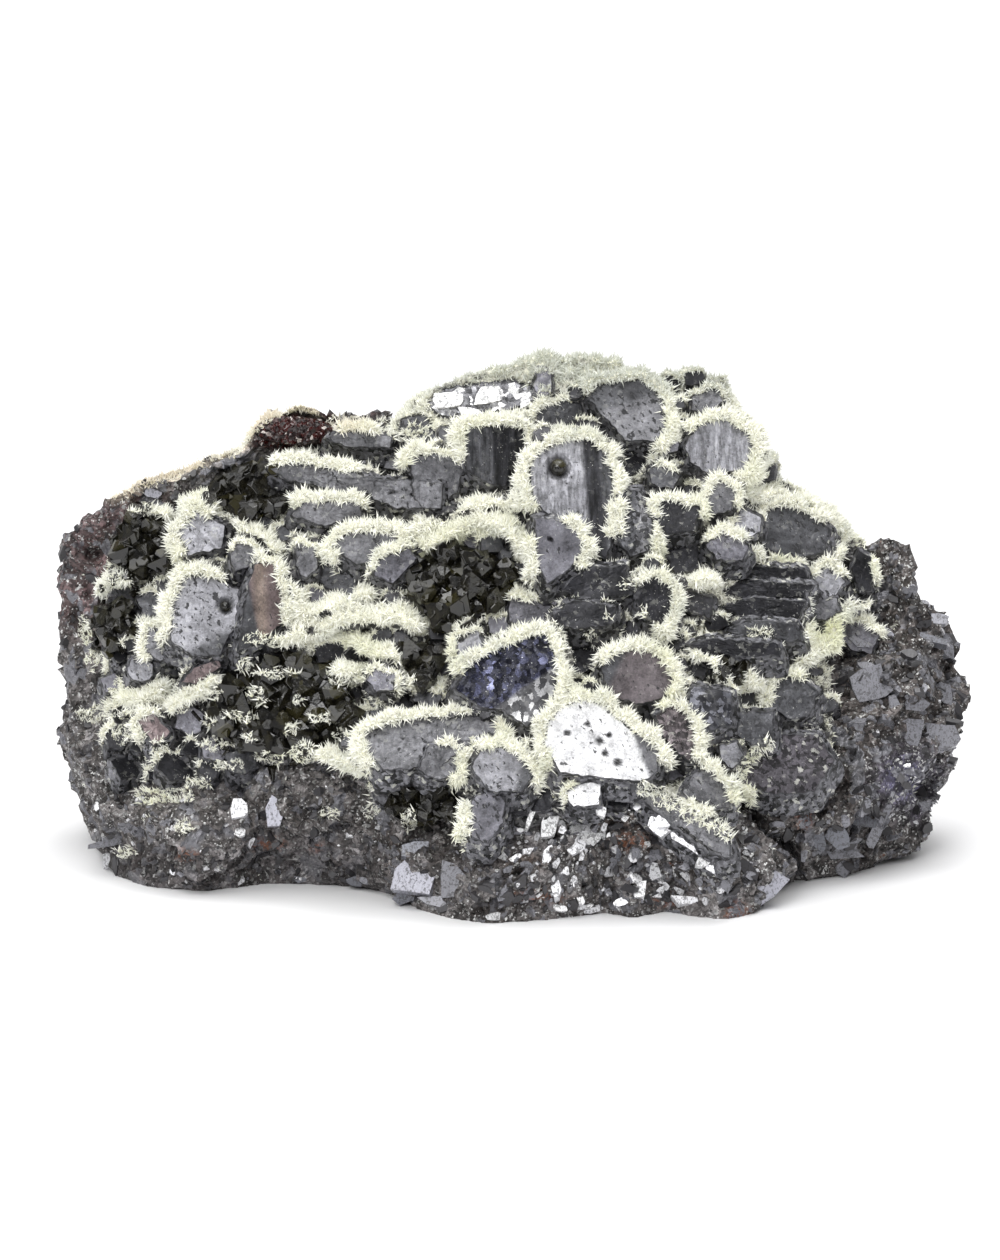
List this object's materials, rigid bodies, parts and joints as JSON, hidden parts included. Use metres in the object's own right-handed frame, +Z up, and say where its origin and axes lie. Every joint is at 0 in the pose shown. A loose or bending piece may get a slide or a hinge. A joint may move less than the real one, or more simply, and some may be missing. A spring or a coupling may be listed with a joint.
{
  "type": "galena specimen",
  "caption": "Rough cabinet specimen of lead-grey galena crystals edged with pale druse and dark sphalerite on broken ore, resting on a flat base.",
  "frame": {"origin": "on the flat underside, below the middle of the specimen's width and in front of the middle of its depth", "axes": "+Z up; +X along the long side, to the right as seen from the crystal side; the crystals face -Y"},
  "size_m": [0.1857, 0.0942, 0.1032],
  "materials": {
    "ore_matrix": "rough, with bright cleavage glints",
    "galena_crystals": "lead-grey metallic, matte to mirror bright, with pale drusy edges",
    "hollow_lining": "sparkling red-brown crust",
    "sphalerite": "glossy olive-black"
  },
  "bodies": {
    "root": {"ore_matrix": "ore_matrix", "galena_crystals": "galena_crystals", "hollow_lining": "hollow_lining", "sphalerite_upper_left": "sphalerite", "sphalerite_left": "sphalerite", "sphalerite_side": "sphalerite", "sphalerite_lower_left": "sphalerite", "sphalerite_centre": "sphalerite", "sphalerite_front": "sphalerite", "sphalerite_middle": "sphalerite", "sphalerite_right": "sphalerite"}
  },
  "joints": []
}
